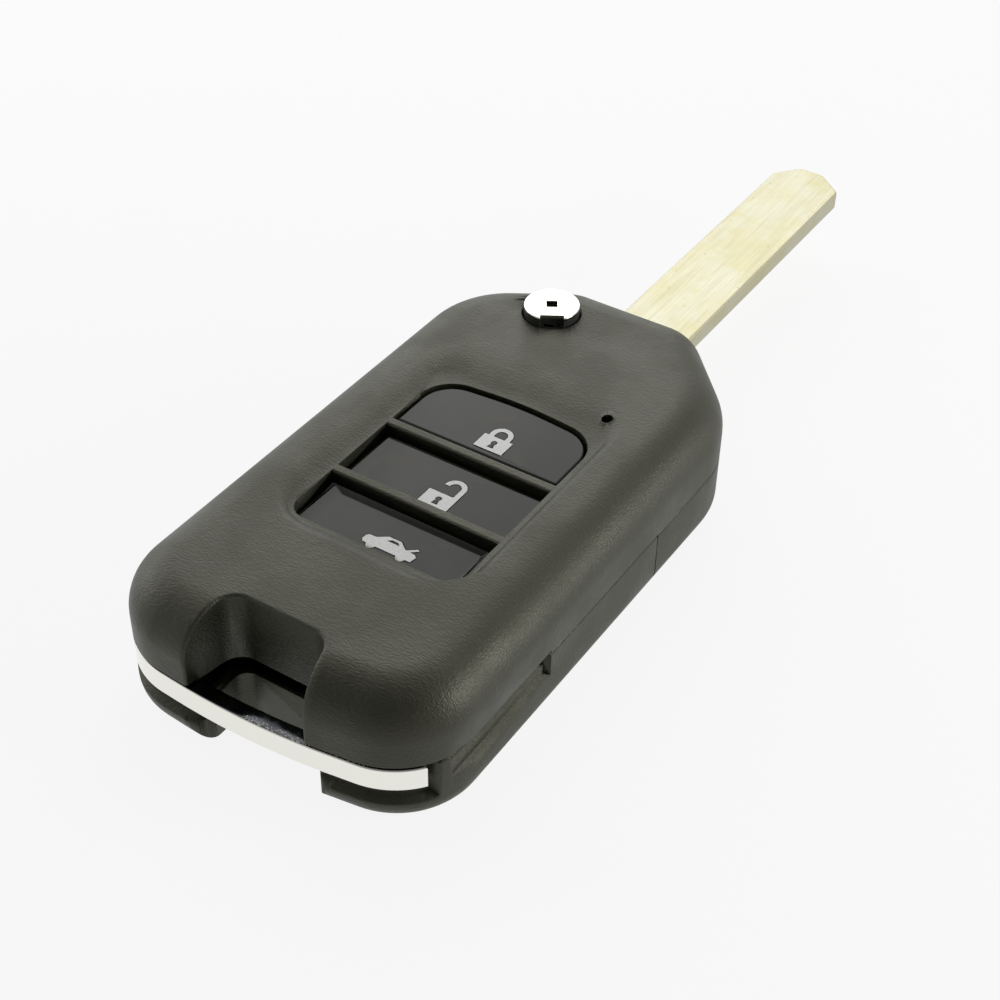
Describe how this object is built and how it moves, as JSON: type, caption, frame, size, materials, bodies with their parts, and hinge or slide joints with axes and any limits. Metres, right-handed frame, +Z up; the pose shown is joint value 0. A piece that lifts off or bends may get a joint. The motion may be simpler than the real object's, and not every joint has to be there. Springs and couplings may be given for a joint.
{
  "type": "flip key remote shell",
  "caption": "Folding car key remote shell with an uncut blade on a sprung turning head, three keys, a release button and a chrome key ring bar.",
  "frame": {"origin": "on the table, under the middle of the case width, where the rear cover lies flat", "axes": "+Z up through the keys, +Y along the open blade, +X to the right seen from above"},
  "size_m": [0.0364, 0.1135, 0.0161],
  "materials": {
    "case_plastic": "fine leather grain, satin",
    "head_plastic": "smooth matte",
    "frame_plastic": "smooth matte",
    "key_plastic": "glossy",
    "mark_silver": "satin silver print",
    "bar_chrome": "bright plating with small scuffs",
    "button_chrome": "bright plating",
    "blade_metal": "pale nickel silver with faint tarnish",
    "steel": "satin",
    "spring_steel": "drawn wire",
    "screw_steel": "zinc plated",
    "pad_rubber": "matte silicone"
  },
  "bodies": {
    "case": {"upper_shell": "case_plastic", "lower_shell": "case_plastic", "rear_cover": "case_plastic", "key_ring_bar": "bar_chrome", "spring_plate": "steel", "thrust_washer": "steel", "key_pad": "pad_rubber", "pad_frame": "frame_plastic", "chip_tray": "frame_plastic", "case_screws": "screw_steel", "cover_screw": "screw_steel"},
    "blade_head": {"flip_head": "head_plastic", "blade": "blade_metal", "blade_pin": "steel", "pivot_spring": "spring_steel"},
    "release": {"release_button": "head_plastic", "button_cap": "button_chrome"},
    "lock_button": {"lock_key": "key_plastic", "lock_mark": "mark_silver"},
    "unlock_button": {"unlock_key": "key_plastic", "unlock_mark": "mark_silver"},
    "trunk_button": {"trunk_key": "key_plastic", "trunk_mark": "mark_silver"}
  },
  "joints": [
    {"name": "blade_fold", "type": "hinge", "parent": "case", "child": "blade_head", "pos_m": [-0.0056, 0.026, 0], "axis": [0, 0, 1], "range_deg": [0, 180], "stiffness_Nm_per_rad": 0.005, "springref_deg": -85.94},
    {"name": "release_press", "type": "slide", "parent": "blade_head", "child": "release", "axis": [0, 0, -1], "range_m": [0, 0.002], "stiffness_N_per_m": 800, "springref_m": -0.002, "deforming": ["pivot_spring"]},
    {"name": "lock_press", "type": "slide", "parent": "case", "child": "lock_button", "axis": [0, 0, -1], "range_m": [0, 0.0005], "stiffness_N_per_m": 600, "springref_m": -0.0015},
    {"name": "unlock_press", "type": "slide", "parent": "case", "child": "unlock_button", "axis": [0, 0, -1], "range_m": [0, 0.0005], "stiffness_N_per_m": 600, "springref_m": -0.0015},
    {"name": "trunk_press", "type": "slide", "parent": "case", "child": "trunk_button", "axis": [0, 0, -1], "range_m": [0, 0.0005], "stiffness_N_per_m": 600, "springref_m": -0.0015}
  ]
}
